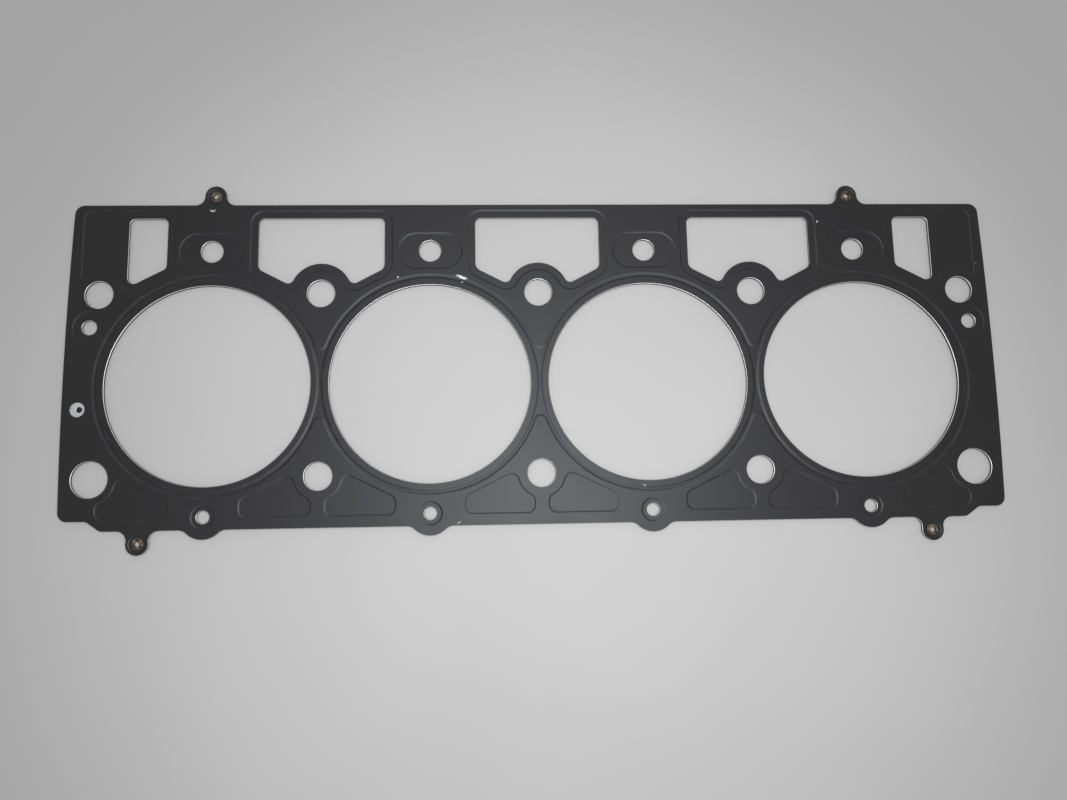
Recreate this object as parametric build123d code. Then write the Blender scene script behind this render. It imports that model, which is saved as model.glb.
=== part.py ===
"""Multi-layer steel cylinder head gasket for a four-cylinder in-line engine.

Two thin coated spring-steel sheets carry the sealing beads and hold a plain steel spacer between
them. A flat stopper ring lies round each bore on the spacer, and four brass eyelets in tabs outside
the deck hold the pack together. X runs along the cylinder row, +Y is the side of the large openings,
and Z = 0 is the face that lies on the block, with the origin midway along the row.
"""

from build123d import *
from math import acos, atan, atan2, cos, degrees, hypot, pi, radians, sin, sqrt, tan
import os

# Sheets, in millimetres.
active_sheet = 0.25
spacer_sheet = 0.90
stopper_sheet = 0.12
bead_height = 0.25
bead_flank = 0.80

# Cylinder row.
bore_count = 4
bore_radius = 53.0
web_width = 9.0
rim_width = 3.5
full_bead_width = 1.7
web_tip_radius = 3.0
stopper_width = 2.6

# Bolt and dowel holes, in two rows halfway between the bores and beyond the end ones.
bolt_row_inset = 4.75
bolt_hole_radius = 7.5
dowel_hole_radius = 9.5
bolt_land = 4.8
dowel_land = 3.6

# Round passages, with their distances from the edge of the bore or the end of the deck.
coolant_hole_reach = 18.4
coolant_hole_radius = 6.0
coolant_pad_length = 34.0
coolant_pad_height = 19.6
oil_hole_reach = 15.1
oil_hole_radius = 3.5
oil_bead_radius = 5.9
side_hole_inset = 11.8
side_hole_drop = 17.55
side_hole_radius = 4.0
side_bead_radius = 8.4

# Deck outline, with its distances from the edge of the bore or the end bolt.
end_margin = 15.8
end_bow_radius = 2400.0
top_margin = 44.0
bottom_margin = 21.4
top_corner_radius = 5.0
bottom_corner_radius = 4.8
shoulder_rise = 5.1
shoulder_outer = 15.5
shoulder_inner = 22.6
shoulder_radius = 4.5
boss_radius = 11.2
boss_foot_radius = 6.0

# Large openings.
window_half_width = 33.4
window_top_inset = 7.2
window_side_reach = 8.8
window_slope = 27.6
window_corner_radius = 3.2
window_side_radius = 4.5
window_bead_margin = 4.0
end_window_clearance = 6.4
end_window_width = 20.3
end_window_foot_rise = 3.54
end_window_foot_radius = 3.5
end_pad_inset = 6.3
end_pad_corner_radius = 4.5
end_pad_tip_radius = 1.5
end_pad_land = 4.3

# Closed pockets in the deck below the bores.
pocket_near = 3.6
pocket_far = 39.7
pocket_base_inset = 5.8
pocket_shoulder_reach = 6.6
pocket_slope = 26.2
pocket_corner_radius = 4.0

# Tabs and eyelets.
top_tab_offset = 1.1
top_tab_reach = 5.0
bottom_tab_offset = 25.4
bottom_tab_reach = 6.6
tab_radius = 5.6
tab_foot_radius = 5.0
dimple_radius = 4.2
eyelet_bore_radius = 1.35
eyelet_wall = 0.4
eyelet_flange_radius = 3.3
eyelet_flange = 0.22
eyelet_roll_radius = 0.2
eyelet_clearance = 0.05

# Sight hole through which the bare spacer shows, and the notch beside the first tab.
sight_hole_inset = 8.0
sight_hole_y = -12.3
sight_hole_radius = 3.8
gauge_hole_offset = 0.9
gauge_hole_radius = 1.5
notch_offset = 1.5
notch_inset = 2.0
notch_radius = 1.7
notch_depth = 1.1
notch_dish_radius = 3.0

# Placing.
ABOVE = (Align.CENTER, Align.CENTER, Align.MIN)

# Levels, worked out from the sheets.
spacer_z = active_sheet + bead_height
stopper_z = spacer_z + spacer_sheet
stack_height = 2 * (active_sheet + bead_height) + spacer_sheet
flank_taper = degrees(atan(bead_flank / bead_height))

# Plan positions, worked out from the row.
bore_pitch = 2 * bore_radius + web_width
bore_xs = [bore_pitch * (i - (bore_count - 1) / 2) for i in range(bore_count)]
bolt_xs = [bore_pitch * (i - bore_count / 2) for i in range(bore_count + 1)]
bolt_row_y = bore_radius - bolt_row_inset
end_bolt_x = bolt_xs[-1]
half_length = end_bolt_x + end_margin
top_edge_y = bore_radius + top_margin
bottom_edge_y = -bore_radius - bottom_margin
window_top_y = top_edge_y - window_top_inset
window_side_y = bore_radius + window_side_reach
end_window_foot_y = bolt_row_y + end_window_foot_rise
pocket_base_y = bottom_edge_y + pocket_base_inset
pocket_shoulder_y = -bore_radius - pocket_shoulder_reach
coolant_hole_y = bore_radius + coolant_hole_reach
oil_hole_y = -bore_radius - oil_hole_reach
side_hole_x = half_length - side_hole_inset
side_hole_y = bolt_row_y - side_hole_drop
top_tab_x = bore_xs[-1] - top_tab_offset
bottom_tab_x = end_bolt_x - bottom_tab_offset
tab_centres = {
    "top_left": (-top_tab_x, top_edge_y + top_tab_reach),
    "top_right": (top_tab_x, top_edge_y + top_tab_reach),
    "bottom_left": (-bottom_tab_x, bottom_edge_y - bottom_tab_reach),
    "bottom_right": (bottom_tab_x, bottom_edge_y - bottom_tab_reach),
}


def discs(radius, centres):
    """Equal discs on the given centres."""
    return [Pos(x, y) * Circle(radius) for x, y in centres]


def rounded(face, radius, chosen):
    """The face with the corners that the test picks out rounded."""
    return fillet([v for v in face.vertices() if chosen(v)], radius)


def both_ends(face):
    """The face and its mirror image at the other end of the row."""
    return [face, mirror(face, Plane.YZ)]


def deck():
    """The block deck's plate with bowed ends and cut shoulders, without tabs or bosses."""
    shoulder_y = bottom_edge_y + shoulder_rise
    on_shoulder = lambda v: abs(abs(v.X) - half_length + shoulder_outer) < 0.01 and v.Y < 0
    right = [
        (half_length, top_edge_y),
        (half_length, shoulder_y),
        (half_length - shoulder_outer, shoulder_y),
        (half_length - shoulder_inner, bottom_edge_y),
    ]
    left = [(-x, y) for x, y in reversed(right)]
    plate = make_face(Polyline(*right, *left, close=True))
    bow_x, bow_y = half_length - end_bow_radius, (top_edge_y + shoulder_y) / 2
    plate &= Pos(bow_x, bow_y) * Circle(end_bow_radius)
    plate &= Pos(-bow_x, bow_y) * Circle(end_bow_radius)
    plate = rounded(plate, top_corner_radius, lambda v: v.Y > top_edge_y - 0.01)
    plate = rounded(plate, bottom_corner_radius, lambda v: abs(v.X) > end_bolt_x + 5 and v.Y < 0)
    return rounded(plate, shoulder_radius, lambda v: v.Y < bottom_edge_y + 0.01 or on_shoulder(v))


def lug(x, y, radius, foot_radius, edge_y):
    """A disc near a straight edge, blended into that edge on both sides by arcs."""
    side = 1 if edge_y > 0 else -1
    foot_y = edge_y + side * foot_radius
    reach = sqrt((radius + foot_radius) ** 2 - (y - foot_y) ** 2)
    inside = edge_y - side * foot_radius
    points = [(x - reach, inside), (x - reach, foot_y), (x, y), (x + reach, foot_y), (x + reach, inside)]
    web = make_face(Polyline(*points, close=True))
    web -= discs(foot_radius, [(x - reach, foot_y), (x + reach, foot_y)])
    return web + Pos(x, y) * Circle(radius)


def outline():
    """The gasket's outer shape: deck, four riveting tabs and a boss round each oil hole."""
    face = deck()
    for x, y in tab_centres.values():
        face += lug(x, y, tab_radius, tab_foot_radius, top_edge_y if y > 0 else bottom_edge_y)
    for x in bore_xs:
        face += lug(x, oil_hole_y, boss_radius, boss_foot_radius, bottom_edge_y)
    return face


def belt(pulleys, margin=0.0):
    """The area inside a belt that runs anticlockwise round discs given as (x, y, radius).

    A disc with a negative radius lies outside the area, and the belt bends round it the other way.
    Two discs that touch hand the belt over where they do. The margin grows the area all round.
    """
    discs_grown = [(x, y, r + margin) for x, y, r in pulleys]
    runs = []
    for (x0, y0, r0), (x1, y1, r1) in zip(discs_grown, discs_grown[1:] + discs_grown[:1]):
        span, heading = hypot(x1 - x0, y1 - y0), atan2(y1 - y0, x1 - x0)
        angle = heading - acos(round((r0 - r1) / span, 9))
        normal = Vector(cos(angle), sin(angle))
        runs.append((Vector(x0, y0) + r0 * normal, Vector(x1, y1) + r1 * normal, angle))
    edges = [Line(start, end) for start, end, _ in runs if (end - start).length > 0.001]
    for (x, y, r), (_, start, a0), (end, _, a1) in zip(discs_grown, runs[-1:] + runs[:-1], runs):
        turn = (a1 - a0) % (2 * pi) if r > 0 else -((a0 - a1) % (2 * pi))
        middle = a0 + turn / 2
        edges.append(ThreePointArc(start, (x + r * cos(middle), y + r * sin(middle)), end))
    return make_face(edges)


def beside_land(rise, start, reach):
    """Where a disc on the line y = start + rise * x lies at the given reach from the origin."""
    square = 1 + rise**2
    x = (-rise * start + sqrt(reach**2 * square - start**2)) / square
    return x, start + rise * x


def window():
    """The discs of a large opening centred on a bolt hole, which it bends round."""
    rise, lean = tan(radians(window_slope)), 1 / cos(radians(window_slope))
    top = window_top_y - window_corner_radius
    corner_x = window_half_width - window_corner_radius
    side_x = window_half_width - window_side_radius
    side_y = window_side_y - window_side_radius * (rise - lean)
    land = bolt_hole_radius + bolt_land + window_bead_margin
    valley_start = window_side_y - window_half_width * rise + window_corner_radius * lean - bolt_row_y
    valley_x, valley_y = beside_land(rise, valley_start, land + window_corner_radius)
    return [
        (corner_x, top, window_corner_radius),
        (-corner_x, top, window_corner_radius),
        (-side_x, side_y, window_side_radius),
        (-valley_x, bolt_row_y + valley_y, window_corner_radius),
        (0, bolt_row_y, -land),
        (valley_x, bolt_row_y + valley_y, window_corner_radius),
        (side_x, side_y, window_side_radius),
    ]


def end_window():
    """The discs of the narrow opening beyond the last bore, at the right-hand end.

    They run from its upper right corner to its foot.
    """
    rise, lean = tan(radians(window_slope)), 1 / cos(radians(window_slope))
    corner, foot = window_corner_radius, end_window_foot_radius
    outer = end_bolt_x - bolt_hole_radius - end_window_clearance
    inner = outer - end_window_width
    side_y = end_window_foot_y + end_window_width * rise
    return [
        (outer - corner, window_top_y - corner, corner),
        (inner + corner, window_top_y - corner, corner),
        (inner + corner, side_y - corner * (rise - lean), corner),
        (outer - foot, end_window_foot_y + foot * (rise + lean), foot),
    ]


def end_pad():
    """The sunken area round an end opening, which reaches out towards the corner of the deck."""
    margin = window_bead_margin
    outer = half_length - end_pad_inset
    corner_x = outer - end_pad_corner_radius
    corner_y = window_top_y + margin - end_pad_corner_radius
    land = bolt_hole_radius + end_pad_land
    tip_x = outer - end_pad_tip_radius
    tip_y = bolt_row_y + sqrt((land + end_pad_tip_radius) ** 2 - (tip_x - end_bolt_x) ** 2)
    around = [(x, y, r + margin) for x, y, r in end_window()[1:]]
    bolt, tip = (end_bolt_x, bolt_row_y, -land), (tip_x, tip_y, end_pad_tip_radius)
    return belt(around + [bolt, tip, (corner_x, corner_y, end_pad_corner_radius)])


def deck_pocket(land):
    """A three-cornered pocket on the right of a bolt hole at X = 0 in the lower row."""
    rise, lean = tan(radians(pocket_slope)), 1 / cos(radians(pocket_slope))
    r = pocket_corner_radius
    near, far, base = pocket_near + r, pocket_far - r, pocket_base_y + r
    apex_start = pocket_shoulder_y + pocket_far * rise - r * lean + bolt_row_y
    apex_x, apex_y = beside_land(-rise, apex_start, land + r)
    return belt([
        (near, base, r),
        (far, base, r),
        (far, pocket_shoulder_y + r * (rise - lean), r),
        (apex_x, apex_y - bolt_row_y, r),
        (0, -bolt_row_y, -land),
        (near, -bolt_row_y - sqrt((land + r) ** 2 - near**2), r),
    ])


def deck_pockets():
    """The pockets on both sides of each lower bolt hole, and on the inner side of the dowel holes."""
    inner = deck_pocket(bolt_hole_radius + bolt_land)
    faces = [Pos(x) * face for x in bolt_xs[1:-1] for face in both_ends(inner)]
    return faces + both_ends(Pos(bolt_xs[0]) * deck_pocket(dowel_hole_radius + dowel_land))


def at_bores(y):
    """A point on every bore's centre line."""
    return [(x, y) for x in bore_xs]


def at_ends(x, y):
    """A point and its mirror image at the other end of the row."""
    return [(-x, y), (x, y)]


def openings():
    """Every hole that goes through the whole pack."""
    faces = discs(bore_radius, at_bores(0))
    faces += discs(bolt_hole_radius, [(x, bolt_row_y) for x in bolt_xs])
    faces += discs(bolt_hole_radius, [(x, -bolt_row_y) for x in bolt_xs[1:-1]])
    faces += discs(dowel_hole_radius, at_ends(end_bolt_x, -bolt_row_y))
    faces += discs(coolant_hole_radius, at_bores(coolant_hole_y))
    faces += discs(oil_hole_radius, at_bores(oil_hole_y))
    faces += discs(side_hole_radius, at_ends(side_hole_x, side_hole_y))
    faces += discs(eyelet_bore_radius + eyelet_wall + eyelet_clearance, tab_centres.values())
    faces += [Pos(x) * belt(window()) for x in bolt_xs[1:-1]]
    return faces + both_ends(belt(end_window()))


def sunken_areas():
    """Every area pressed down to the spacer, by the line halfway down its flank, bores left out."""
    faces = [Pos(x) * belt(window(), window_bead_margin) for x in bolt_xs[1:-1]]
    faces += both_ends(end_pad())
    pad = SlotOverall(coolant_pad_length, coolant_pad_height)
    faces += [Pos(x, y) * pad for x, y in at_bores(coolant_hole_y)]
    faces += deck_pockets()
    faces += discs(oil_bead_radius, at_bores(oil_hole_y))
    faces += discs(side_bead_radius, at_ends(side_hole_x, side_hole_y))
    return faces + discs(dimple_radius, tab_centres.values())


def pressed(face):
    """The hollow that pressing an area leaves in the sheet's upper face, which lies at Z = 0."""
    return extrude(offset(face, bead_flank / 2), -bead_height, taper=flank_taper)


def joined_discs(radius, tip_radius):
    """Equal discs round all the bores, joined where neighbours overlap, with the cusps rounded."""
    sketch = Sketch() + discs(radius, at_bores(0))
    if 2 * radius > bore_pitch:
        sketch = fillet(sketch.vertices(), tip_radius)
    return sketch.faces().sort_by(Axis.X)


def full_bead():
    """The hollow of the groove round all the bores, which neighbours share in the webs."""
    half = bead_flank / 2
    rim_radius = bore_radius + rim_width
    outer_radius = rim_radius + full_bead_width
    tops = joined_discs(outer_radius + half, web_tip_radius - half)
    floors = joined_discs(outer_radius - half, web_tip_radius + half)
    rim = Cone(rim_radius + half, rim_radius - half, bead_height, align=ABOVE)
    hollows = [loft([top, Pos(0, 0, -bead_height) * floor], ruled=True) for top, floor in zip(tops, floors)]
    return Part() + hollows - [Pos(x, y, -bead_height) * rim for x, y in at_bores(0)]


def active_layer():
    """The upper beaded sheet, with its flat field's upper face at the top of the pack."""
    hollows = [full_bead()] + [pressed(face) for face in sunken_areas()]
    sheet = extrude(outline(), -active_sheet)
    sheet += [Pos(0, 0, -active_sheet) * hollow for hollow in hollows]
    sheet -= hollows
    depth = active_sheet + bead_height
    cuts = [extrude(face, -depth) for face in openings()]
    return Pos(0, 0, stack_height) * (sheet - cuts)


def sight_hole():
    """The round hole in the upper sheet through which the spacer shows."""
    return Pos(sight_hole_inset - half_length, sight_hole_y) * Circle(sight_hole_radius)


def notch():
    """The crescent cut in the upper sheet that shows the bare spacer beside the first tab."""
    x, y = -top_tab_x - notch_offset, top_edge_y - notch_inset
    dish_y = y + notch_dish_radius + notch_depth - notch_radius
    return Pos(x, y) * Circle(notch_radius) - Pos(x, dish_y) * Circle(notch_dish_radius)


def spacer_layer():
    """The plain sheet between the two beaded ones, with a small hole under the sight hole."""
    gauge_x = sight_hole_inset - half_length + gauge_hole_offset
    gauge_hole = Pos(gauge_x, sight_hole_y) * Circle(gauge_hole_radius)
    return Pos(0, 0, spacer_z) * extrude(outline() - openings() - gauge_hole, spacer_sheet)


def stopper_ring():
    """The flat ring that lies on the spacer round a bore centred on X = 0."""
    face = Circle(bore_radius + stopper_width) - Circle(bore_radius)
    return Pos(0, 0, stopper_z) * extrude(face, stopper_sheet)


def eyelet():
    """A rolled tube whose two flanges hold the sheets together inside their dimples."""
    bottom = active_sheet - eyelet_flange
    top = stack_height - bottom
    outside = eyelet_bore_radius + eyelet_wall
    grip_bottom, grip_top = active_sheet, stack_height - active_sheet
    points = [
        (eyelet_bore_radius, bottom),
        (eyelet_flange_radius, bottom),
        (eyelet_flange_radius, grip_bottom),
        (outside, grip_bottom),
        (outside, grip_top),
        (eyelet_flange_radius, grip_top),
        (eyelet_flange_radius, top),
        (eyelet_bore_radius, top),
    ]
    profile = make_face(Polyline(*points, close=True))
    rim = [v for v in profile.vertices() if v.Y < bottom + 0.01 or v.Y > top - 0.01]
    return revolve(Plane.XZ * fillet(rim, eyelet_roll_radius), Axis.Z)


plain_layer = active_layer()
parts = {
    "top_active_layer": plain_layer - extrude(sight_hole() + notch(), stack_height),
    "spacer_layer": spacer_layer(),
    "bottom_active_layer": mirror(plain_layer, Plane.XY.offset(stack_height / 2)),
}
for number, x in enumerate(bore_xs, start=1):
    parts["stopper_ring_%d" % number] = Pos(x) * stopper_ring()
for place, (x, y) in tab_centres.items():
    parts["eyelet_" + place] = Pos(x, y) * eyelet()

os.makedirs("parts", exist_ok=True)
for name, part in parts.items():
    export_step(part, "parts/%s.step" % name)
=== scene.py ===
"""Looks of the multi-layer steel head gasket: two coated sheets, a bare spacer and brass eyelets.

Every plan shape is a belt round discs, and every edge and bead is a small profile carried along it.
Lengths are in millimetres until a mesh is made. X runs along the row of cylinders and Z is up.
"""

from math import cos, pi, radians, sqrt, tan

import bmesh
import bpy
import numpy as np
from mathutils import Matrix, Vector
from mathutils.geometry import delaunay_2d_cdt


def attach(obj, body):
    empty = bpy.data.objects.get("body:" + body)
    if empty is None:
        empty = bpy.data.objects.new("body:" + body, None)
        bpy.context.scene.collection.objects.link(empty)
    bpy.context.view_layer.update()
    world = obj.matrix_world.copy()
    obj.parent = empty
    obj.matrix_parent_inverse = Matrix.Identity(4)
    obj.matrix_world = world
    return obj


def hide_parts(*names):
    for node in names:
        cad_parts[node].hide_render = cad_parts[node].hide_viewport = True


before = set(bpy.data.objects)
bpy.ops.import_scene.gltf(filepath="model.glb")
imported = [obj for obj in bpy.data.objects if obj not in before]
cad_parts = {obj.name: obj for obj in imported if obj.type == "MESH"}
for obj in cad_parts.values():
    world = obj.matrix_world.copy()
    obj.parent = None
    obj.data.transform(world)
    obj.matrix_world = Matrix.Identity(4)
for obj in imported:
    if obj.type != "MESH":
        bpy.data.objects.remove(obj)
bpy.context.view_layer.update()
MM = 0.001

# Sheets and levels.
SHEET = 0.25
BEAD = 0.25
SPACER_Z = SHEET + BEAD
SPACER = 0.90
STACK = 2 * SPACER_Z + SPACER

# Beads: half the width of a side, wider round the bores, and the level strip beyond it.
FLANK, BORE_FLANK = 0.5, 0.76
FLANK_END = 0.04

# Edges: the radius of the rolled top, and how far in from the edge the flat area starts.
SHEET_ROLL, SPACER_ROLL = 0.05, 0.20
SHEET_LIP, SPACER_LIP = SHEET_ROLL + 0.08, SPACER_ROLL + 0.05

# How far the lower layers' openings stand in past the top sheet's, so that their edges show.
BOTTOM_LEDGE, SPACER_LEDGE = 0.28, 0.16

# The row of cylinders and its bolts.
PITCH = 115.0
BORES = PITCH * np.array([-1.5, -0.5, 0.5, 1.5])
BOLTS = PITCH * np.arange(-2, 3)
INNER_BOLTS = BOLTS[1:-1]
END_X = BOLTS[-1]
BOLT_Y = 48.25
BORE_R, BOLT_R = 53.0, 7.5

# The bead round each bore, the belt round all of these, and the disc in its cusps.
RIM_R = BORE_R + 3.5
GROOVE_R = RIM_R + 1.7
CUSP_R = 3.0

# The deck's outline: straight long edges, bowed ends, cut shoulders, tabs and bosses.
HALF = END_X + 15.8
TOP_Y, BOTTOM_Y = 97.0, -74.4
BOW_R = 2400.0
SHOULDER_RISE = 5.1
SHOULDER_START, SHOULDER_END = 22.6, 15.5
SHOULDER_R, LOWER_CORNER, UPPER_CORNER = 4.5, 4.8, 5.0
TAB_R, TAB_BLEND = 5.6, 5.0
BOSS_R, BOSS_BLEND = 11.2, 6.0
TABS = {
    "top_left": (-171.4, TOP_Y + 5.0),
    "top_right": (171.4, TOP_Y + 5.0),
    "bottom_left": (-204.6, BOTTOM_Y - 6.6),
    "bottom_right": (204.6, BOTTOM_Y - 6.6),
}

# The large openings: half their width, the round land about the bolt, the corners' radii, and
# the margin of the sunken area round an opening.
SLOPE = radians(27.6)
WINDOW_TOP = TOP_Y - 7.2
WINDOW_HALF = 33.4
WINDOW_SIDE_Y = BORE_R + 8.8
WINDOW_LAND = 16.3
CORNER, SIDE_CORNER = 3.2, 4.5
WINDOW_MARGIN = 4.0

# The narrow end openings and the sunken areas round them.
END_OUTER = END_X - BOLT_R - 6.4
END_WIDTH = 20.3
END_FOOT_Y = BOLT_Y + 3.54
FOOT_CORNER = 3.5
PAD_OUTER = HALF - 6.3
PAD_LAND, PAD_TIP = 11.8, 1.5

# The three-cornered pockets: their near and far sides, measured from the bolt, the corners'
# radius, and the round land about an inner bolt or a dowel.
POCKET_SLOPE = radians(26.2)
POCKET_NEAR, POCKET_FAR = 3.6, 39.7
POCKET_BASE_Y, POCKET_SIDE_Y = BOTTOM_Y + 5.8, -BORE_R - 6.6
POCKET_CORNER = 4.0
POCKET_LAND, END_POCKET_LAND = 12.3, 13.1

# Round holes, each kind with its places and radius, and the radii of the sunken areas round them.
CYLINDERS = [(x, 0) for x in BORES]
HEAD_BOLTS = [(x, BOLT_Y) for x in BOLTS] + [(x, -BOLT_Y) for x in INNER_BOLTS]
DOWELS, DOWEL_R = [(-END_X, -BOLT_Y), (END_X, -BOLT_Y)], 9.5
COOLANT, COOLANT_R = [(x, BORE_R + 18.4) for x in BORES], 6.0
COOLANT_PAD_HALF, COOLANT_PAD_R = 7.2, 9.8
OIL, OIL_R, OIL_PAD_R = [(x, -BORE_R - 15.1) for x in BORES], 3.5, 5.9
SIDES, SIDE_R, SIDE_PAD_R = [(-234.0, 30.7), (234.0, 30.7)], 4.0, 8.4
EYELET_HOLE_R, EYELET_PAD_R = 1.8, 4.2

# The left end's sight hole, through the top sheet, and the gauge hole under it, with radii.
SIGHT_HOLE = 8.0 - HALF, -12.3, 3.8
GAUGE_HOLE = 8.9 - HALF, -12.3, 1.5

# Fineness: a chord's greatest gap to its arc, the least step along an outline and a seam's reach.
CHORD_GAP = 0.005
LEAST_STEP = 0.01
SEAM = 0.002

# The sharpest bend that is shaded smooth, and the rows across a bead's side, above and beneath.
SMOOTH_BEND = radians(50)
TOP_ROWS, UNDER_ROWS = 7, 2

# Chips in the coating: X, Y, length, width and turn in degrees.
CHIPS = [
    (-74.8, 57.0, 1.2, 1.0, 30),
    (-40.8, 56.8, 6.4, 1.5, -20),
    (-40.6, 53.9, 1.2, 0.6, 10),
    (53.8, -55.6, 1.8, 0.2, 60),
    (52.9, -55.2, 0.8, 0.2, -50),
    (-43.0, -73.0, 2.2, 0.2, 35),
    (-208.0, 47.0, 0.7, 0.3, 30),
    (154.0, 87.0, 1.5, 1.1, 80),
    (241.0, 63.0, 0.5, 0.4, 0),
]

# The white room's strength as soft light, and as it is seen behind the object and in its gloss.
ROOM_LIGHT, ROOM_SEEN = 0.3, 0.37

# The softbox over the pack: its place, where it points, its side and its strength in watts.
SOFTBOX, SOFTBOX_AIM = (16, -60, 473), (0, -20, 0)
SOFTBOX_SIDE, SOFTBOX_POWER = 160, 1.68

# The board under the pack: its height, half its side in metres, and where it starts and ends
# its fade, measured from the spot under the light.
BOARD_Z, BOARD_HALF = -1.0, 12.0
FADE_START, FADE_END = 200.0, 420.0


# ---------------------------------------------------------------- plan shapes

def spaces(sweep, r):
    """How many equal chords keep within the chord gap of an arc: sweep * sqrt(r / (8 * gap))."""
    return max(1, int(np.ceil(abs(sweep) * sqrt(abs(r) / (8 * CHORD_GAP)))))


def ring(x, y, r):
    """A circle as points and outward normals: centre + r * (cos a, sin a)."""
    a = np.linspace(0, 2 * pi, spaces(2 * pi, r), endpoint=False)
    out = np.stack([np.cos(a), np.sin(a)], 1)
    return np.array([x, y]) + r * out, out


def rings(places, r):
    """Circles of one radius at several places."""
    return [ring(x, y, r) for x, y in places]


def belt(pulleys):
    """Points and outward normals of a belt that runs anticlockwise round discs (x, y, radius).

    A disc with a negative radius lies outside. Each tangent's normal leans from the line of
    centres by acos((r0 - r1) / span), rounded so that two discs may touch, and each arc runs
    from one tangent's normal to the next.
    """
    x, y, r = np.array(pulleys, float).T
    dx, dy, dr = np.roll(x, -1) - x, np.roll(y, -1) - y, r - np.roll(r, -1)
    leave = np.arctan2(dy, dx) - np.arccos(np.round(dr / np.hypot(dx, dy), 9))
    arrive = np.roll(leave, 1)
    turn = np.where(r > 0, (leave - arrive) % (2 * pi), -((arrive - leave) % (2 * pi)))
    points, normals = [], []
    for cx, cy, cr, a0, sweep in zip(x, y, r, arrive, turn):
        a = a0 + sweep * np.linspace(0, 1, spaces(sweep, cr) + 1)
        out = np.stack([np.cos(a), np.sin(a)], 1)
        points.append(np.array([cx, cy]) + cr * out)
        normals.append(out)
    points, normals = np.concatenate(points), np.concatenate(normals)
    keep = np.hypot(*(points - np.roll(points, 1, 0)).T) > LEAST_STEP
    return points[keep], normals[keep]


def moved(shape, x=0.0, y=0.0, flip=False):
    """A shape shifted, and turned left to right where asked, still anticlockwise."""
    points, normals = shape
    if flip:
        points, normals = points[::-1] * (-1, 1), normals[::-1] * (-1, 1)
    return points + (x, y), normals


def at_both_ends(shape):
    """A shape of the right-hand end, and its mirror image at the left-hand end."""
    return [shape, moved(shape, flip=True)]


def grown(shape, margin):
    """The shape's points carried outwards along their normals: point + margin * normal."""
    return shape[0] + margin * shape[1]


def smaller(shapes, ledge):
    """Shapes with their outlines moved inwards."""
    return [(grown(shape, -ledge), shape[1]) for shape in shapes]


def beside(rise, start, reach):
    """The disc centre on y = start + rise * x at the given reach from the origin.

    Its x is the right-hand root of x^2 + (start + rise * x)^2 = reach^2.
    """
    square = 1 + rise**2
    x = (-rise * start + sqrt(reach**2 * square - start**2)) / square
    return x, start + rise * x


def window(margin=0.0):
    """The large opening round a bolt hole at X = 0: two top corners, two sides, two valleys.

    From its side corners it falls towards the bolt at the slope. A valley's disc lies on that
    fall, its centre radius / cos(slope) above it, and touches the round land about the bolt.
    """
    rise, lean = tan(SLOPE), 1 / cos(SLOPE)
    fall = WINDOW_SIDE_Y - WINDOW_HALF * rise + CORNER * lean - BOLT_Y
    vx, vy = beside(rise, fall, WINDOW_LAND + CORNER)
    top, side = WINDOW_TOP - CORNER, WINDOW_SIDE_Y - SIDE_CORNER * (rise - lean)
    half, side_half = WINDOW_HALF - CORNER, WINDOW_HALF - SIDE_CORNER
    discs = [
        (half, top, CORNER), (-half, top, CORNER), (-side_half, side, SIDE_CORNER),
        (-vx, BOLT_Y + vy, CORNER), (0, BOLT_Y, -WINDOW_LAND), (vx, BOLT_Y + vy, CORNER),
        (side_half, side, SIDE_CORNER),
    ]
    return belt([(x, y, r + margin) for x, y, r in discs])


def end_discs():
    """The discs of the narrow right-hand end opening, from its upper right corner to its foot.

    Its lower side falls outwards at the slope. The disc at the foot lies on it with its centre
    radius * (1 / cos(slope) + tan(slope)) above the foot, and the one at the inner side with
    its centre radius * (1 / cos(slope) - tan(slope)) above the fall's upper end.
    """
    rise, lean = tan(SLOPE), 1 / cos(SLOPE)
    inner = END_OUTER - END_WIDTH
    side_y = END_FOOT_Y + END_WIDTH * rise
    foot_y = END_FOOT_Y + FOOT_CORNER * (rise + lean)
    return [
        (END_OUTER - CORNER, WINDOW_TOP - CORNER, CORNER),
        (inner + CORNER, WINDOW_TOP - CORNER, CORNER),
        (inner + CORNER, side_y - CORNER * (rise - lean), CORNER),
        (END_OUTER - FOOT_CORNER, foot_y, FOOT_CORNER),
    ]


def end_pad():
    """The sunken area round the end opening, out to the corner of the deck and round the bolt hole.

    Its tip's disc touches the round land about the bolt, dx to the side of it, so it lies
    sqrt((land + tip)^2 - dx^2) above the bolt.
    """
    tip_x = PAD_OUTER - PAD_TIP
    tip_y = BOLT_Y + sqrt((PAD_LAND + PAD_TIP) ** 2 - (tip_x - END_X) ** 2)
    top = WINDOW_TOP + WINDOW_MARGIN
    around = [(x, y, r + WINDOW_MARGIN) for x, y, r in end_discs()[1:]]
    return belt(around + [
        (END_X, BOLT_Y, -PAD_LAND), (tip_x, tip_y, PAD_TIP),
        (PAD_OUTER - SIDE_CORNER, top - SIDE_CORNER, SIDE_CORNER),
    ])


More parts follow.
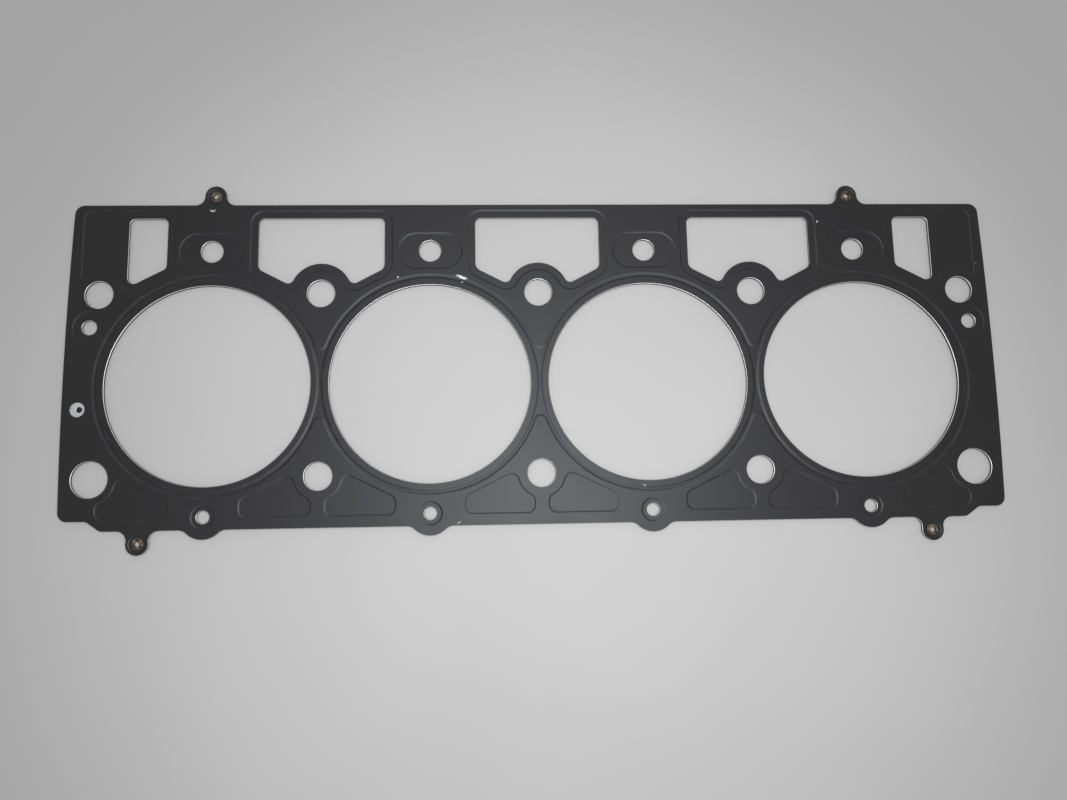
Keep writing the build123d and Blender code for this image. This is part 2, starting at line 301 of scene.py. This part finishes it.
def pocket(land):
    """The three-cornered pocket on the right of a lower bolt hole at X = 0.

    Its upper side climbs towards the bolt at the pocket's slope, and its two discs next to the
    bolt touch the round land about it.
    """
    rise, lean, r = tan(POCKET_SLOPE), 1 / cos(POCKET_SLOPE), POCKET_CORNER
    near, far, base = POCKET_NEAR + r, POCKET_FAR - r, POCKET_BASE_Y + r
    climb = POCKET_SIDE_Y + POCKET_FAR * rise - r * lean + BOLT_Y
    ax, ay = beside(-rise, climb, land + r)
    return belt([
        (near, base, r), (far, base, r), (far, POCKET_SIDE_Y + r * (rise - lean), r),
        (ax, ay - BOLT_Y, r), (0, -BOLT_Y, -land),
        (near, -BOLT_Y - sqrt((land + r) ** 2 - near**2), r),
    ])


def groove():
    """One belt round all the bore beads, with a small disc in each cusp between neighbours.

    A cusp's disc touches the belt's discs on both sides, so it lies
    sqrt((groove radius + cusp radius)^2 - (pitch / 2)^2) off the row.
    """
    r, tip = GROOVE_R, CUSP_R
    y = sqrt((r + tip) ** 2 - (PITCH / 2) ** 2)
    upper, lower = [], []
    for bore, cusp in zip(BORES[:-1], INNER_BOLTS):
        lower += [(bore, 0, r), (cusp, -y, -tip)]
    for bore, cusp in zip(BORES[:0:-1], INNER_BOLTS[::-1]):
        upper += [(bore, 0, r), (cusp, y, -tip)]
    return belt(upper + lower)


def lug(x, y, r, blend, edge):
    """A disc off a straight edge and the two hollow discs that blend it into the edge.

    The hollow discs touch the edge and the disc, so they lie sqrt((r + blend)^2 - dy^2) to
    either side of it, dy being the height between the centres.
    """
    blend_y = edge + blend if edge > 0 else edge - blend
    reach = sqrt((r + blend) ** 2 - (y - blend_y) ** 2)
    return [(x - reach, blend_y, -blend), (x, y, r), (x + reach, blend_y, -blend)]


def outline():
    """The deck's edge: bowed ends, cut shoulders, four tabs and four bosses.

    A corner's disc touches the bow from inside, so its centre is (bow radius - r) from the
    bow's. Each disc of a shoulder is shifted by radius * tan(half the shoulder's angle), so
    that the cut starts and ends where it should.
    """
    shoulder = BOTTOM_Y + SHOULDER_RISE
    bow_x, bow_y = HALF - BOW_R, (TOP_Y + shoulder) / 2
    slip = SHOULDER_R * tan(np.arctan2(SHOULDER_RISE, SHOULDER_START - SHOULDER_END) / 2)

    def corner(y, r):
        return bow_x + sqrt((BOW_R - r) ** 2 - (y - bow_y) ** 2), y, r

    def tab(name, edge):
        return lug(*TABS[name], TAB_R, TAB_BLEND, edge)

    bottom = tab("bottom_left", BOTTOM_Y)
    for x, y in OIL:
        bottom += lug(x, y, BOSS_R, BOSS_BLEND, BOTTOM_Y)
    bottom += tab("bottom_right", BOTTOM_Y)
    top = tab("top_right", TOP_Y)[::-1] + tab("top_left", TOP_Y)[::-1]
    right = [
        (HALF - SHOULDER_START - slip, BOTTOM_Y + SHOULDER_R, SHOULDER_R),
        (HALF - SHOULDER_END + slip, shoulder - SHOULDER_R, -SHOULDER_R),
        corner(shoulder + LOWER_CORNER, LOWER_CORNER),
        (bow_x, bow_y, BOW_R),
        corner(TOP_Y - UPPER_CORNER, UPPER_CORNER),
    ]
    left = [(-x, y, r) for x, y, r in right[::-1]]
    return belt(bottom + right + top + left)


def crescent():
    """The small notch: a disc bitten by a larger one, with blunt horns.

    A horn's disc touches the notch's disc from inside and the bite from outside, so its
    y = (bite_y^2 - (bite + horn)^2 + (disc - horn)^2) / (2 * bite_y).
    """
    disc, bite, bite_y, horn = 1.7, 3.0, 2.4, 0.15
    y = (bite_y**2 - (bite + horn) ** 2 + (disc - horn) ** 2) / (2 * bite_y)
    x = sqrt((disc - horn) ** 2 - y**2)
    notch = belt([(x, y, horn), (0, bite_y, -bite), (-x, y, horn), (0, 0, disc)])
    return moved(notch, x=-172.9, y=TOP_Y - 2.0)


# ---------------------------------------------------------------- surfaces

def carry(shape, profile, level=0.0, wrap=False):
    """A profile of (out, up, wear) rows carried along a closed shape.

    Point (i, k) = shape point k + out[i] * its normal, at height level + up[i].
    """
    points, normals = shape
    out, up, wear = np.array(profile, float).T
    rows, count = len(out), len(points)
    verts = np.empty((rows, count, 4))
    verts[..., :2] = points + out[:, None, None] * normals
    verts[..., 2] = (level + up)[:, None]
    verts[..., 3] = wear[:, None]
    i, k = np.meshgrid(np.arange(rows if wrap else rows - 1), np.arange(count), indexing="ij")
    j, m = (i + 1) % rows, (k + 1) % count
    quads = np.stack([i * count + k, j * count + k, j * count + m, i * count + m], -1)
    return verts.reshape(-1, 4), quads.reshape(-1, 4).tolist()


def fill(loops, level):
    """The flat area inside the first loop and outside the others, at one height."""
    inside_with_holes, same_point = 2, 1e-5
    ends = np.cumsum([0] + [len(loop) for loop in loops]).tolist()
    borders = [list(range(a, b)) for a, b in zip(ends, ends[1:])]
    flat = [Vector(p) for p in np.concatenate(loops).tolist()]
    verts, _, faces, *_ = delaunay_2d_cdt(flat, [], borders, inside_with_holes, same_point)
    placed = np.zeros((len(verts), 4))
    placed[:, :2] = np.array(verts)
    placed[:, 2] = level
    return placed, [list(f) for f in faces]


def solid(name, patches, flip=False):
    """Joins patches into one closed mesh in metres, with its seams merged and normals outwards."""
    verts = np.concatenate([v for v, _ in patches])
    shift = np.cumsum([0] + [len(v) for v, _ in patches[:-1]])
    faces = [[c + s for c in f] for s, (_, fs) in zip(shift.tolist(), patches) for f in fs]
    if flip:
        verts[:, 2] = STACK - verts[:, 2]
    mesh = bpy.data.meshes.new(name)
    mesh.from_pydata((verts[:, :3] * MM).tolist(), [], faces)
    wear = mesh.attributes.new("wear", "FLOAT", "POINT")
    wear.data.foreach_set("value", verts[:, 3].astype(np.float32))
    bm = bmesh.new()
    bm.from_mesh(mesh)
    bmesh.ops.remove_doubles(bm, verts=bm.verts, dist=SEAM * MM)
    bmesh.ops.recalc_face_normals(bm, faces=bm.faces)
    bm.to_mesh(mesh)
    bm.free()
    mesh.polygons.foreach_set("use_smooth", np.ones(len(mesh.polygons), bool))
    mesh.set_sharp_from_angle(angle=SMOOTH_BEND)
    piece = bpy.data.objects.new(name, mesh)
    bpy.context.scene.collection.objects.link(piece)
    return piece


# ---------------------------------------------------------------- sheets

def flank(rows, half, up=1):
    """A bead's side: half a sine wave of the bead's height across twice half, level at both ends.

    It rises outwards for up = 1 and falls outwards for up = -1. Wear peaks at the upper shoulder:
    exp(-((u - 0.7) / 0.5)^2), where u runs from -1 at the foot to 1 at the top.
    """
    u = np.linspace(-1, 1, rows)
    rise = 0.5 * (1 + np.sin(pi * u / 2))
    wear = np.exp(-(((u - 0.7) / 0.5) ** 2))
    side = np.stack([u * half * up, BEAD * (rise - 1), wear], 1)
    shelf = (half + FLANK_END) * up
    return np.concatenate([[(-shelf, -BEAD, 0)], side, [(shelf, 0, 0)]])[::up]


def rolled_top(roll, lip, rows, wear):
    """The top of a punched edge: a flat lip, then a quarter turn, worn but for its first row.

    out = roll * (1 - sin a) and up = roll * (cos a - 1), for a from 0 to a right angle.
    """
    a = np.linspace(0, pi / 2, rows)
    turn = np.stack([roll * (1 - np.sin(a)), roll * (np.cos(a) - 1), wear * (a > 0)], 1)
    return [(lip, 0, 0), *turn]


def cut_edge(inward):
    """A coated sheet's punched edge: a rolled top, then straight, broken over the last tenth.

    inward is +1 for an opening, whose normals point into the sheet, and -1 for the outline.
    """
    straight, broken = 0.9 * SHEET, 0.02
    rest = [(0, -straight, 0), (broken, -SHEET, 0), (SHEET_LIP, -SHEET, 0)]
    return np.array(rolled_top(SHEET_ROLL, SHEET_LIP, rows=4, wear=0.3) + rest) * (inward, 1, 1)


def spacer_edge(inward):
    """The thick sheet's punched edge: a wide rolled and burnished band over a broken one painted
    dark as shade.

    Wear is 1 on the burnished band and -1 on the broken one, which the finish paints nearly black
    as shade, and it changes over halfway down.
    """
    burnished, broken = 0.48 * SPACER, 0.52 * SPACER
    # The broken band's -1 makes the finish paint it nearly black, as painted shade.
    rest = [(0, -burnished, 1), (0.005, -broken, -1), (0.03, -SPACER, -1), (SPACER_LIP, -SPACER, 0)]
    return np.array(rolled_top(SPACER_ROLL, SPACER_LIP, rows=7, wear=1) + rest) * (inward, 1, 1)


def sunken_areas(ledge):
    """Each sunken area: its outline, the holes in its floor, and 1 or 0 for a rubbed bead."""
    ends = smaller(at_both_ends(belt(end_discs())), ledge)
    slot = belt([(COOLANT_PAD_HALF, 0, COOLANT_PAD_R), (-COOLANT_PAD_HALF, 0, COOLANT_PAD_R)])
    pockets = [moved(shape, x) for x in INNER_BOLTS for shape in at_both_ends(pocket(POCKET_LAND))]
    pockets += at_both_ends(moved(pocket(END_POCKET_LAND), -END_X))

    areas = [(moved(window(WINDOW_MARGIN), x), [moved(window(), x)], 1) for x in INNER_BOLTS]
    areas += [(pad, [hole], 1) for pad, hole in zip(at_both_ends(end_pad()), ends)]
    areas += [(moved(slot, x, y), [ring(x, y, COOLANT_R - ledge)], 1) for x, y in COOLANT]
    for places, r, pad_r in ((OIL, OIL_R, OIL_PAD_R), (SIDES, SIDE_R, SIDE_PAD_R)):
        areas += [(ring(x, y, pad_r), [ring(x, y, r - ledge)], 1) for x, y in places]
    areas += [(shape, [], 1) for shape in pockets]
    for x, y in TABS.values():
        areas.append((ring(x, y, EYELET_PAD_R), [ring(x, y, EYELET_HOLE_R)], 0))
    return areas


def beaded_sheet(name, extra, ledge=0.0, flip=False):
    """A coated sheet: edges, beads and flat areas, each flat area once on top and once underneath.

    Its round holes and end openings are smaller by the ledge all round, but not the eyelets' holes.
    """
    field, floor = STACK, STACK - BEAD
    edge, bead, rims = outline(), groove(), rings(CYLINDERS, RIM_R)
    areas = sunken_areas(ledge)
    bores = smaller(rings(CYLINDERS, BORE_R), ledge)
    holes = smaller(rings(HEAD_BOLTS, BOLT_R) + rings(DOWELS, DOWEL_R) + extra, ledge)
    shelf, bore_shelf = FLANK + FLANK_END, BORE_FLANK + FLANK_END

    patches = [carry(edge, cut_edge(-1), field)]
    patches += [carry(hole, cut_edge(1), field) for hole in holes + bores]
    patches += [carry(hole, cut_edge(1), floor) for _, inner, _ in areas for hole in inner]
    for drop, rows in ((0.0, TOP_ROWS), (SHEET, UNDER_ROWS)):
        high, low = field - drop, floor - drop
        for pad, _, rubbed in areas:
            patches.append(carry(pad, flank(rows, FLANK) * (1, 1, rubbed), high))
        patches.append(carry(bead, flank(rows, BORE_FLANK), high))
        patches += [carry(rim, flank(rows, BORE_FLANK, -1), high) for rim in rims]

        around = [grown(bead, bore_shelf)] + [grown(pad, shelf) for pad, _, _ in areas]
        around += [grown(hole, SHEET_LIP) for hole in holes]
        patches.append(fill([grown(edge, -SHEET_LIP)] + around, high))
        within = [grown(bead, -bore_shelf)] + [grown(rim, bore_shelf) for rim in rims]
        patches.append(fill(within, low))
        for rim, bore in zip(rims, bores):
            patches.append(fill([grown(rim, -bore_shelf), grown(bore, SHEET_LIP)], high))
        for pad, inner, _ in areas:
            patches.append(fill([grown(pad, -shelf)] + [grown(h, SHEET_LIP) for h in inner], low))
    return solid(name, patches, flip)


def plain_sheet(name, ledge):
    """The bare spacer: every opening of the pack and the gauge hole under the sight hole.

    Its round holes and end openings are smaller by the ledge all round, but not the eyelets' holes.
    """
    top = SPACER_Z + SPACER
    holes = rings(CYLINDERS, BORE_R) + rings(HEAD_BOLTS, BOLT_R) + rings(DOWELS, DOWEL_R)
    holes += rings(COOLANT, COOLANT_R) + rings(OIL, OIL_R) + rings(SIDES, SIDE_R)
    holes = smaller(holes + at_both_ends(belt(end_discs())), ledge)
    holes += rings(TABS.values(), EYELET_HOLE_R)
    holes += [moved(window(), x) for x in INNER_BOLTS] + [ring(*GAUGE_HOLE)]
    edge = outline()
    patches = [carry(edge, spacer_edge(-1), top)]
    patches += [carry(hole, spacer_edge(1), top) for hole in holes]
    loops = [grown(edge, -SPACER_LIP)] + [grown(hole, SPACER_LIP) for hole in holes]
    return solid(name, patches + [fill(loops, top), fill(loops, SPACER_Z)])


def eyelet(name, x, y):
    """A rolled tube: a closed profile of bore, two curled flanges and barrel, turned on its axis.

    A row of the curl is a radius and a height from the pack's face. Wear stands for grime here,
    and grows outwards as (radius - clean) / (flange - clean).
    """
    curl = [
        (1.35, -0.60), (1.36, -0.36), (1.45, -0.16), (1.66, -0.05), (2.0, -0.03),
        (2.5, -0.06), (2.95, -0.11), (3.2, -0.16), (3.3, -0.21), (3.27, -0.245),
        (3.1, -0.25), (1.80, -0.25), (1.75, -0.31),
    ]
    flange, clean = 3.3, 2.0
    rows = [(r, z, max(0.0, r - clean) / (flange - clean)) for r, z in curl]
    top = [(r, STACK + z, grime) for r, z, grime in rows]
    bottom = [(r, -z, grime) for r, z, grime in rows[::-1]]
    points, normals = ring(x, y, flange)
    axis = np.broadcast_to([x, y], points.shape)
    return solid(name, [carry((axis, normals), top + bottom, wrap=True)])


# ---------------------------------------------------------------- finishes

def colour(code):
    """An sRGB hex colour turned to linear: c / 12.92 when dark, else ((c + 0.055) / 1.055)^2.4."""
    parts = [int(code[i:i + 2], 16) / 255 for i in (1, 3, 5)]
    linear = [c / 12.92 if c <= 0.04045 else ((c + 0.055) / 1.055) ** 2.4 for c in parts]
    return linear + [1.0]


def node(tree, kind, inputs=(), **settings):
    """Adds a shader node and returns its outputs.

    inputs gives each socket, by name or number, a value or the output that feeds it. A number
    serves where sockets share a name, as in sums.
    """
    new = tree.nodes.new("ShaderNode" + kind)
    for key, value in settings.items():
        setattr(new, key, value)
    for key, value in dict(inputs).items():
        if isinstance(value, bpy.types.NodeSocket):
            tree.links.new(value, new.inputs[key])
        else:
            new.inputs[key].default_value = value
    return new.outputs


def start(name):
    """A new material: its tree, its shader and the place on the piece in millimetres."""
    material = bpy.data.materials.new(name)
    material.use_nodes = True
    tree = material.node_tree
    metres = node(tree, "TexCoord")["Object"]
    mm = node(tree, "VectorMath", {0: metres, "Scale": 1 / MM}, operation="SCALE")[0]
    return material, tree, tree.nodes["Principled BSDF"], mm


def chipped(tree, mm, pebble):
    """1 inside the chips in the coating and 0 outside.

    A chip is a turned ellipse. Half its length, half its width or half a millimetre up or down
    counts as a distance of 1 from its middle. The chip grows from 0 to 1 as that distance plus
    1.8 times the pebble falls from 2.0 to 1.6, which makes its rim ragged.
    """
    chips, depth = 0.0, 0.5
    for x, y, length, width, turn in CHIPS:
        spot = {"Vector": mm, "Location": (x, y, STACK), "Rotation": (0, 0, radians(turn))}
        spot["Scale"] = (length / 2, width / 2, depth)
        away = node(tree, "Mapping", spot, vector_type="TEXTURE")[0]
        away = node(tree, "VectorMath", {0: away}, operation="LENGTH")["Value"]
        ragged = node(tree, "Math", {0: pebble, 1: 1.8, 2: away}, operation="MULTIPLY_ADD")[0]
        chip = node(tree, "MapRange", {"Value": ragged, "From Min": 2.0, "From Max": 1.6})[0]
        chips = node(tree, "Math", {0: chips, 1: chip}, operation="MAXIMUM")[0]
    return chips


def rubber_coating():
    """Spring steel roller-coated with a thin black nitrile rubber, baked, then pressed.

    Satin black, greyer and faintly blue where a light is mirrored, and more so across the rolling
    direction X. It has a fine pebble of 0.7 mm, a soft cloudiness of 38 mm, thin grey wear on cut
    edges and bead shoulders that comes and goes every 7 mm, and a few chips down to bright steel.
    """
    material, tree, shader, mm = start("black_nitrile_rubber_on_spring_steel")
    pebble = node(tree, "TexNoise", {"Vector": mm, "Scale": 1 / 0.7, "Detail": 2.0})["Fac"]
    cloud = node(tree, "TexNoise", {"Vector": mm, "Scale": 1 / 38, "Detail": 3.0})["Fac"]
    patch = node(tree, "TexNoise", {"Vector": mm, "Scale": 1 / 7, "Detail": 4.0})["Fac"]
    patch = node(tree, "MapRange", {"Value": patch, "From Min": 0.40, "From Max": 0.66})[0]
    worn = node(tree, "Attribute", attribute_name="wear")["Fac"]
    worn = node(tree, "Math", {0: worn, 1: patch}, operation="MULTIPLY")[0]
    chips = chipped(tree, mm, pebble)

    black = {"Factor": cloud, "A": colour("#161413"), "B": colour("#1c1a18")}
    tone = node(tree, "Mix", black, data_type="RGBA")["Result"]
    for share, code in ((worn, "#343434"), (chips, "#dcdcda")):
        over = {"Factor": share, "A": tone, "B": colour(code)}
        tone = node(tree, "Mix", over, data_type="RGBA")["Result"]
    tree.links.new(tone, shader.inputs["Base Color"])
    metal = node(tree, "Math", {0: chips, 1: 0.5}, operation="MULTIPLY")[0]
    tree.links.new(metal, shader.inputs["Metallic"])
    satin = {"Value": cloud, "From Min": 0.3, "From Max": 0.7, "To Min": 0.50, "To Max": 0.53}
    tree.links.new(node(tree, "MapRange", satin)[0], shader.inputs["Roughness"])
    across = node(tree, "CombineXYZ", {"Y": 1.0})[0]
    tree.links.new(across, shader.inputs["Tangent"])
    shader.inputs["Anisotropic"].default_value = 0.2
    shader.inputs["Specular IOR Level"].default_value = 0.68
    shader.inputs["Specular Tint"].default_value = colour("#f1f5ff")
    bump = node(tree, "Bump", {"Height": pebble, "Strength": 0.25, "Distance": 0.04 * MM})[0]
    tree.links.new(bump, shader.inputs["Normal"])
    return material


def bare_steel(name, grain, dull, clean):
    """Cold-rolled steel strip, left bare: a pale, slightly blue satin with fine lines along X.

    These rolling lines are really about 0.05 mm apart. They are drawn 45 mm long and the given
    grain in mm apart, so that they show.
    The punched edge is burnished above, so it is brighter and glints. Below it is broken and rough,
    and there it is painted nearly black: painted shade for the dark gap beneath the bright edge.
    """
    material, tree, shader, mm = start(name)
    stretch = {"Vector": mm, "Scale": (1 / 45, 1 / grain, 1 / grain)}
    drawn = node(tree, "Mapping", stretch)[0]
    lines = node(tree, "TexNoise", {"Vector": drawn, "Scale": 1.0, "Detail": 4.0})["Fac"]
    wear = node(tree, "Attribute", attribute_name="wear")["Fac"]
    burnished = node(tree, "MapRange", {"Value": wear})[0]
    # Painted shade: where wear is -1, the broken band is painted nearly black, darker than rough
    # steel.
    broken = node(tree, "MapRange", {"Value": wear, "From Min": 0.0, "From Max": -1.0})[0]

    strip = {"Factor": lines, "A": colour(dull), "B": colour(clean)}
    tone = node(tree, "Mix", strip, data_type="RGBA")["Result"]
    for share, code in ((burnished, "#fafafa"), (broken, "#202022")):
        over = {"Factor": share, "A": tone, "B": colour(code)}
        tone = node(tree, "Mix", over, data_type="RGBA")["Result"]
    tree.links.new(tone, shader.inputs["Base Color"])
    satin = {"Value": lines, "From Min": 0.3, "From Max": 0.7, "To Min": 0.50, "To Max": 0.62}
    satin = node(tree, "MapRange", satin)[0]
    gloss = node(tree, "Mix", {"Factor": burnished, "A": satin, "B": 0.42})["Result"]
    tree.links.new(gloss, shader.inputs["Roughness"])
    metal = node(tree, "MapRange", {"Value": burnished, "To Min": 0.8, "To Max": 1.0})[0]
    tree.links.new(metal, shader.inputs["Metallic"])
    bump = node(tree, "Bump", {"Height": lines, "Strength": 0.2, "Distance": 0.02 * MM})[0]
    tree.links.new(bump, shader.inputs["Normal"])
    return material


def dull_brass():
    """Drawn brass tube, rolled over and gone brown.

    It is stained in spots of 1.7 mm, paler where it is rubbed and grimy at the rim.
    """
    material, tree, shader, mm = start("rolled_brass_gone_dull")
    stain = node(tree, "TexNoise", {"Vector": mm, "Scale": 1 / 1.7, "Detail": 3.0})["Fac"]
    stain = node(tree, "MapRange", {"Value": stain, "From Min": 0.38, "From Max": 0.66})[0]
    grime = node(tree, "Attribute", attribute_name="wear")["Fac"]

    rubbed = {"Factor": stain, "A": colour("#463f36"), "B": colour("#a5988b")}
    tone = node(tree, "Mix", rubbed, data_type="RGBA")["Result"]
    over = {"Factor": grime, "A": tone, "B": colour("#4a4440")}
    tone = node(tree, "Mix", over, data_type="RGBA")["Result"]
    tree.links.new(tone, shader.inputs["Base Color"])
    gloss = node(tree, "MapRange", {"Value": stain, "To Min": 0.65, "To Max": 0.5})[0]
    tree.links.new(gloss, shader.inputs["Roughness"])
    bump = node(tree, "Bump", {"Height": stain, "Strength": 0.3, "Distance": 0.03 * MM})[0]
    tree.links.new(bump, shader.inputs["Normal"])
    shader.inputs["Metallic"].default_value = 1.0
    return material


def backdrop_rays(tree):
    """1 for rays from the camera, off a gloss or through glass, which see the backdrop, else 0."""
    ray = node(tree, "LightPath")
    seen = ray["Is Camera Ray"]
    for kind in ("Is Glossy Ray", "Is Transmission Ray"):
        seen = node(tree, "Math", {0: seen, 1: ray[kind]}, operation="MAXIMUM")[0]
    return seen


def pale_floor():
    """A matt, pale grey painted board with a faint mottle of 120 mm.

    From 0.20 m to 0.42 m away from the spot under the light, it is seen to fade into the room's
    own paleness, so it has no dark far side and no horizon.
    """
    material, tree, shader, mm = start("pale_grey_board")
    mottle = node(tree, "TexNoise", {"Vector": mm, "Scale": 1 / 120, "Detail": 3.0})["Fac"]
    paint = {"Factor": mottle, "A": colour("#c9c9ca"), "B": colour("#d2d2d2")}
    tone = node(tree, "Mix", paint, data_type="RGBA")["Result"]
    tree.links.new(tone, shader.inputs["Base Color"])
    shader.inputs["Roughness"].default_value = 0.7

    under_light = (*SOFTBOX[:2], 0)
    far = node(tree, "VectorMath", {0: mm, 1: under_light}, operation="DISTANCE")["Value"]
    fade = {"Value": far, "From Min": FADE_START, "From Max": FADE_END}
    fade = node(tree, "MapRange", fade, interpolation_type="SMOOTHSTEP")[0]
    fade = node(tree, "Math", {0: fade, 1: backdrop_rays(tree)}, operation="MULTIPLY")[0]
    pale = node(tree, "Emission", {"Color": colour("#ffffff"), "Strength": ROOM_SEEN})[0]
    mixed = node(tree, "MixShader", {0: fade, 1: shader.outputs[0], 2: pale})[0]
    tree.links.new(mixed, tree.nodes["Material Output"].inputs["Surface"])
    return material


coating, brass = rubber_coating(), dull_brass()
spacer_steel = bare_steel("bare_cold_rolled_steel", 0.5, "#cfd4d9", "#eceff2")
shim_steel = bare_steel("bare_shim_steel", 0.4, "#b4b6b8", "#d6d8da")


# ---------------------------------------------------------------- pieces

def place(piece, node_name, material):
    """Gives a piece its finish, hangs it under the root body and hides the CAD node that it stands
    in for.
    """
    piece.data.materials.append(material)
    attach(piece, "root")
    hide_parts(node_name)


top_sheet = beaded_sheet("top_sheet", [ring(*SIGHT_HOLE), crescent()])
bottom_sheet = beaded_sheet("bottom_sheet", [], ledge=BOTTOM_LEDGE, flip=True)
place(top_sheet, "top_active_layer", coating)
place(bottom_sheet, "bottom_active_layer", coating)
place(plain_sheet("spacer_sheet", SPACER_LEDGE), "spacer_layer", spacer_steel)
for corner, (x, y) in TABS.items():
    place(eyelet("rolled_eyelet_" + corner, x, y), "eyelet_" + corner, brass)
for number in range(1, len(BORES) + 1):
    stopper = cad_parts[f"stopper_ring_{number}"]
    stopper.data.materials.clear()
    stopper.data.materials.append(shim_steel)

# ---------------------------------------------------------------- floor, light and camera

# The free pack is never quite flat, so the board lies 1 mm below it.
floor_mesh = bpy.data.meshes.new("floor")
corners = BOARD_HALF * np.array([(-1, -1, 0), (1, -1, 0), (1, 1, 0), (-1, 1, 0)])
floor_mesh.from_pydata((corners + (0, 0, BOARD_Z * MM)).tolist(), [], [(0, 1, 2, 3)])
floor = bpy.data.objects.new("floor", floor_mesh)
floor_mesh.materials.append(pale_floor())
bpy.context.scene.collection.objects.link(floor)

lamp = bpy.data.lights.new("overhead_softbox", "AREA")
lamp.shape, lamp.size, lamp.energy = "SQUARE", SOFTBOX_SIDE * MM, SOFTBOX_POWER
softbox = bpy.data.objects.new("overhead_softbox", lamp)
softbox.location = Vector(SOFTBOX) * MM
aim = Vector(SOFTBOX_AIM) * MM - softbox.location
softbox.rotation_euler = aim.to_track_quat("-Z", "Y").to_euler()
bpy.context.scene.collection.objects.link(softbox)

world = bpy.data.worlds.new("soft_white_room")
bpy.context.scene.world = world
world.use_nodes = True
room = world.node_tree
strength = {"Value": backdrop_rays(room), "To Min": ROOM_LIGHT, "To Max": ROOM_SEEN}
room.links.new(node(room, "MapRange", strength)[0], room.nodes["Background"].inputs["Strength"])
room.nodes["Background"].inputs["Color"].default_value = colour("#ffffff")

# The camera stands 0.46 m over the pack, a little to the left and front, and looks almost straight
# down. Its turn is given by the directions that lie to the right, down and ahead in its picture.
lens = bpy.data.cameras.new("camera")
lens.sensor_fit, lens.sensor_width, lens.lens = "HORIZONTAL", 36.0, 29.55098
camera = bpy.data.objects.new("camera", lens)
stand = Vector((-24.445, -77.474, 455.849)) * MM
right = Vector((0.99890077, -0.01865415, 0.04300324))
down = Vector((-0.01212536, -0.98900818, -0.14736278))
ahead = Vector((0.04527948, 0.14667937, -0.98814722))
turned = Matrix((right, -down, -ahead)).transposed()
camera.matrix_world = Matrix.Translation(stand) @ turned.to_4x4()
bpy.context.scene.collection.objects.link(camera)
bpy.context.scene.camera = camera
bpy.context.scene.view_settings.view_transform = "Standard"
